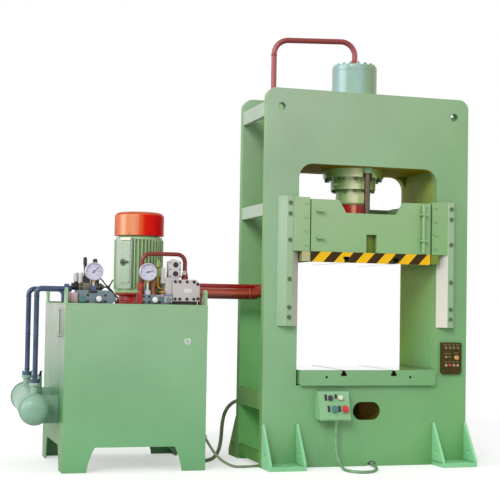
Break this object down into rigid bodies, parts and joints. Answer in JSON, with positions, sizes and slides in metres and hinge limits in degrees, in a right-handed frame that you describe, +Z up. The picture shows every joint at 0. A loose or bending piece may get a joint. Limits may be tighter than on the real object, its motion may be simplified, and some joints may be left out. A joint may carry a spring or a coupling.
{
  "type": "hydraulic press",
  "caption": "Frame-type hydraulic press with guided slide and T-slotted table, and a separate oil tank with motor, valve groups and tube cooler",
  "frame": {"origin": "centre of the press footprint on the floor, straight below the ram", "axes": "+X towards the press's right with the power unit on -X, +Y towards the back with the operator on -Y, +Z up"},
  "size_m": [3.297, 1.369, 3.199],
  "materials": {
    "press_green": "matt green machine enamel",
    "guide_steel": "ground steel guide face",
    "screw_steel": "hexagon heads painted with the frame",
    "ram_red": "ram with red oxide coat",
    "rod_steel": "plain steel rod",
    "hazard_yellow": "yellow and dark slanting stripes",
    "black_plastic": "black moulded plastic",
    "cream_plastic": "cream moulded plastic",
    "green_plastic": "green moulded plastic",
    "red_plastic": "red moulded plastic",
    "panel_dark": "dark panel enamel",
    "lamp_lens": "coloured lamp lenses",
    "pipe_red": "dark red pipe enamel",
    "pipe_blue": "dark blue pipe enamel",
    "cowl_orange": "orange-red fan cowl enamel",
    "valve_grey": "grey cast valve bodies",
    "gauge_steel": "gauge case",
    "conduit_rubber": "grey-green flexible conduit"
  },
  "bodies": {
    "press_and_power_unit": {"front_frame_plate": "press_green", "rear_frame_plate": "press_green", "left_column_web": "press_green", "right_column_web": "press_green", "crown_bottom_plate": "press_green", "crown_top_plate": "press_green", "column_tie_bars": "press_green", "bed_box": "press_green", "table": "press_green", "front_left_foot": "press_green", "front_right_foot": "press_green", "rear_left_foot": "press_green", "rear_right_foot": "press_green", "guide_gibs": "guide_steel", "frame_screws": "screw_steel", "cylinder_barrel": "press_green", "cylinder_cap": "press_green", "gland_ring": "press_green", "button_box": "press_green", "control_panel": "panel_dark", "panel_lamps": "lamp_lens", "head_pipe": "pipe_red", "return_pipe": "pipe_red", "tank": "press_green", "tank_cover": "press_green", "level_gauge": "rod_steel", "pump_motor": "press_green", "fan_cowl": "cowl_orange", "bell_housing": "pipe_red", "left_valve_block": "valve_grey", "right_valve_block": "valve_grey", "left_gauge": "gauge_steel", "right_gauge": "gauge_steel", "valve_pipes": "pipe_red", "oil_cooler": "press_green", "cooler_pipes": "pipe_blue", "box_conduit": "conduit_rubber", "power_conduit": "conduit_rubber", "signal_conduit": "conduit_rubber"},
    "slide": {"ram": "ram_red", "position_rod": "rod_steel", "slide_body": "press_green", "slide_bolster": "hazard_yellow", "guide_shoes": "press_green", "trip_rod": "press_green"},
    "black_button_part": {"black_button": "black_plastic"},
    "cream_button_part": {"cream_button": "cream_plastic"},
    "green_button_part": {"green_button": "green_plastic"},
    "red_stop_button_part": {"red_stop_button": "red_plastic"},
    "white_button_left_part": {"white_button_left": "cream_plastic"},
    "red_button_part": {"red_button": "red_plastic"},
    "white_button_right_part": {"white_button_right": "cream_plastic"},
    "left_gauge_pointer_part": {"left_gauge_pointer": "black_plastic"},
    "right_gauge_pointer_part": {"right_gauge_pointer": "black_plastic"},
    "tall_relief_knob_part": {"tall_relief_knob": "black_plastic"},
    "short_relief_knob_part": {"short_relief_knob": "black_plastic"},
    "left_isolator_knob_part": {"left_isolator_knob": "cream_plastic"},
    "right_isolator_knob_part": {"right_isolator_knob": "cream_plastic"},
    "front_water_lever_part": {"front_water_lever": "black_plastic"},
    "rear_water_lever_part": {"rear_water_lever": "black_plastic"}
  },
  "joints": [
    {"name": "slide_stroke", "type": "slide", "parent": "press_and_power_unit", "child": "slide", "axis": [0, 0, 1], "range_m": [-0.48, 0]},
    {"name": "black_button_push", "type": "slide", "parent": "press_and_power_unit", "child": "black_button_part", "axis": [0, 0.959, -0.2834], "range_m": [0, 0.006], "stiffness_N_per_m": 900, "springref_m": -0.002},
    {"name": "cream_button_push", "type": "slide", "parent": "press_and_power_unit", "child": "cream_button_part", "axis": [0, 0.959, -0.2834], "range_m": [0, 0.006], "stiffness_N_per_m": 900, "springref_m": -0.002},
    {"name": "green_button_push", "type": "slide", "parent": "press_and_power_unit", "child": "green_button_part", "axis": [0, 0.959, -0.2834], "range_m": [0, 0.006], "stiffness_N_per_m": 900, "springref_m": -0.002},
    {"name": "red_stop_button_push", "type": "slide", "parent": "press_and_power_unit", "child": "red_stop_button_part", "axis": [0, 0.959, -0.2834], "range_m": [0, 0.006], "stiffness_N_per_m": 900, "springref_m": -0.002},
    {"name": "white_button_left_push", "type": "slide", "parent": "press_and_power_unit", "child": "white_button_left_part", "axis": [0, 1, 0], "range_m": [0, 0.004], "stiffness_N_per_m": 500, "springref_m": -0.002},
    {"name": "red_button_push", "type": "slide", "parent": "press_and_power_unit", "child": "red_button_part", "axis": [0, 1, 0], "range_m": [0, 0.004], "stiffness_N_per_m": 500, "springref_m": -0.002},
    {"name": "white_button_right_push", "type": "slide", "parent": "press_and_power_unit", "child": "white_button_right_part", "axis": [0, 1, 0], "range_m": [0, 0.004], "stiffness_N_per_m": 500, "springref_m": -0.002},
    {"name": "left_gauge_pointer_swing", "type": "hinge", "parent": "press_and_power_unit", "child": "left_gauge_pointer_part", "pos_m": [-2.011, -0.256, 1.372], "axis": [0, 1, 0], "range_deg": [-90, 180], "stiffness_Nm_per_rad": 0.05},
    {"name": "right_gauge_pointer_swing", "type": "hinge", "parent": "press_and_power_unit", "child": "right_gauge_pointer_part", "pos_m": [-1.629, -0.256, 1.377], "axis": [0, 1, 0], "range_deg": [-110, 160], "stiffness_Nm_per_rad": 0.05},
    {"name": "tall_relief_knob_turn", "type": "hinge", "parent": "press_and_power_unit", "child": "tall_relief_knob_part", "pos_m": [-2.064, -0.188, 1.44], "axis": [0, 0, 1], "range_deg": [-720, 720]},
    {"name": "short_relief_knob_turn", "type": "hinge", "parent": "press_and_power_unit", "child": "short_relief_knob_part", "pos_m": [-1.994, -0.188, 1.44], "axis": [0, 0, 1], "range_deg": [-720, 720]},
    {"name": "left_isolator_knob_turn", "type": "hinge", "parent": "press_and_power_unit", "child": "left_isolator_knob_part", "pos_m": [-1.978, -0.28, 1.183], "axis": [0, -1, 0], "range_deg": [-360, 360]},
    {"name": "right_isolator_knob_turn", "type": "hinge", "parent": "press_and_power_unit", "child": "right_isolator_knob_part", "pos_m": [-1.583, -0.28, 1.183], "axis": [0, -1, 0], "range_deg": [-360, 360]},
    {"name": "front_water_lever_turn", "type": "hinge", "parent": "press_and_power_unit", "child": "front_water_lever_part", "pos_m": [-2.342, -0.06, 0.65], "axis": [0, 0, 1], "range_deg": [0, 90]},
    {"name": "rear_water_lever_turn", "type": "hinge", "parent": "press_and_power_unit", "child": "rear_water_lever_part", "pos_m": [-2.342, 0.23, 0.65], "axis": [0, 0, 1], "range_deg": [0, 90]}
  ]
}
